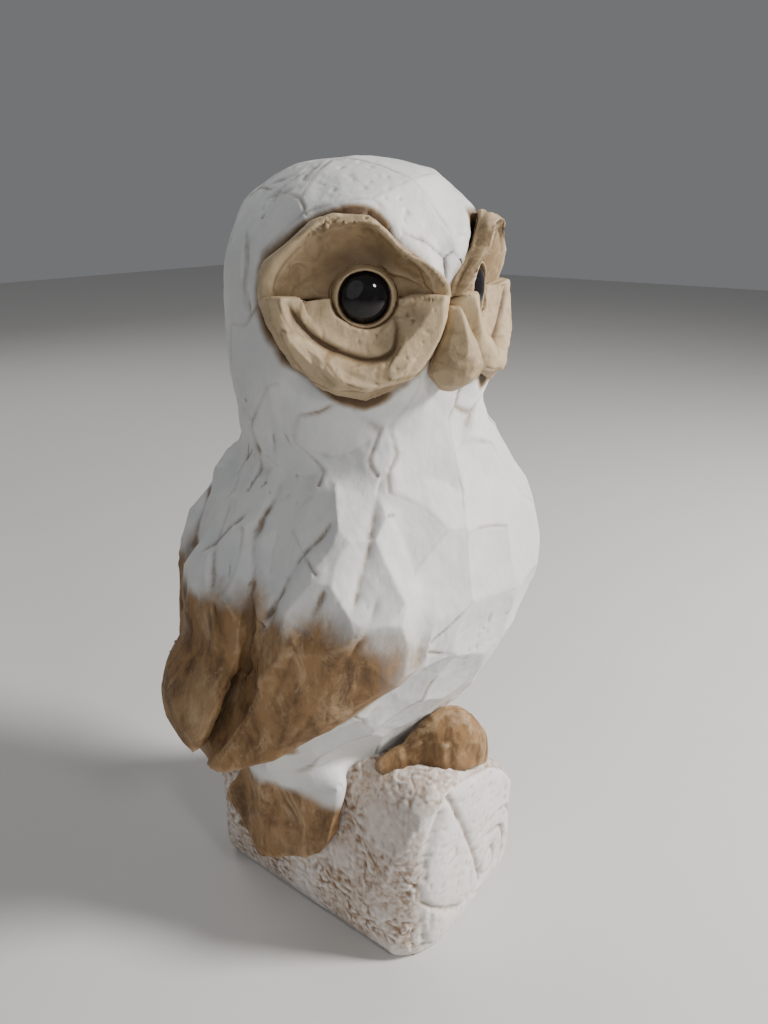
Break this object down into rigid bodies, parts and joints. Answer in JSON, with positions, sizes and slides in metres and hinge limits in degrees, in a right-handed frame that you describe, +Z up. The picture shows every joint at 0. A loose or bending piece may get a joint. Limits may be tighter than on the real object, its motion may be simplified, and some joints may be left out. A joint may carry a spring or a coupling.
{
  "type": "owl figurine",
  "caption": "Free-standing cast owl figurine, painted to look like carved wood, perched across a short bark-covered log",
  "frame": {"origin": "middle of the flat underside, on the felt", "axes": "+Z up; the log lies along Y with the sawn end that the face looks over towards -Y; the breast looks nearly along +X and the tail hangs on the -X side"},
  "size_m": [0.2281, 0.1951, 0.439],
  "materials": {
    "white_paint": "matt white paint over a cast carved surface, with a thin brown wash in its cuts",
    "taupe_paint": "matt taupe paint with a darker wash in the grooves",
    "wing_paint": "matt brown paint, rubbed lighter on its edges, fading to white above",
    "tail_paint": "matt paint, white above and brown at the tip",
    "foot_paint": "matt brown paint",
    "bark_paint": "rough bark relief in off-white with a brown wash, and smooth white sawn ends",
    "black_gloss": "polished black",
    "steel": "plain steel rod",
    "board": "hardboard",
    "felt": "dark felt"
  },
  "bodies": {
    "root": {"trunk": "white_paint", "hood": "white_paint", "brow_right": "taupe_paint", "brow_left": "taupe_paint", "cheek_right": "taupe_paint", "cheek_left": "taupe_paint", "lid_right": "taupe_paint", "lid_left": "taupe_paint", "eye_right": "black_gloss", "eye_left": "black_gloss", "beak": "taupe_paint", "wing_right": "wing_paint", "wing_left": "wing_paint", "mantle": "wing_paint", "tail": "tail_paint", "foot_right": "foot_paint", "foot_left": "foot_paint", "pin_right": "steel", "pin_left": "steel", "log": "bark_paint", "board": "board", "felt": "felt"}
  },
  "joints": []
}
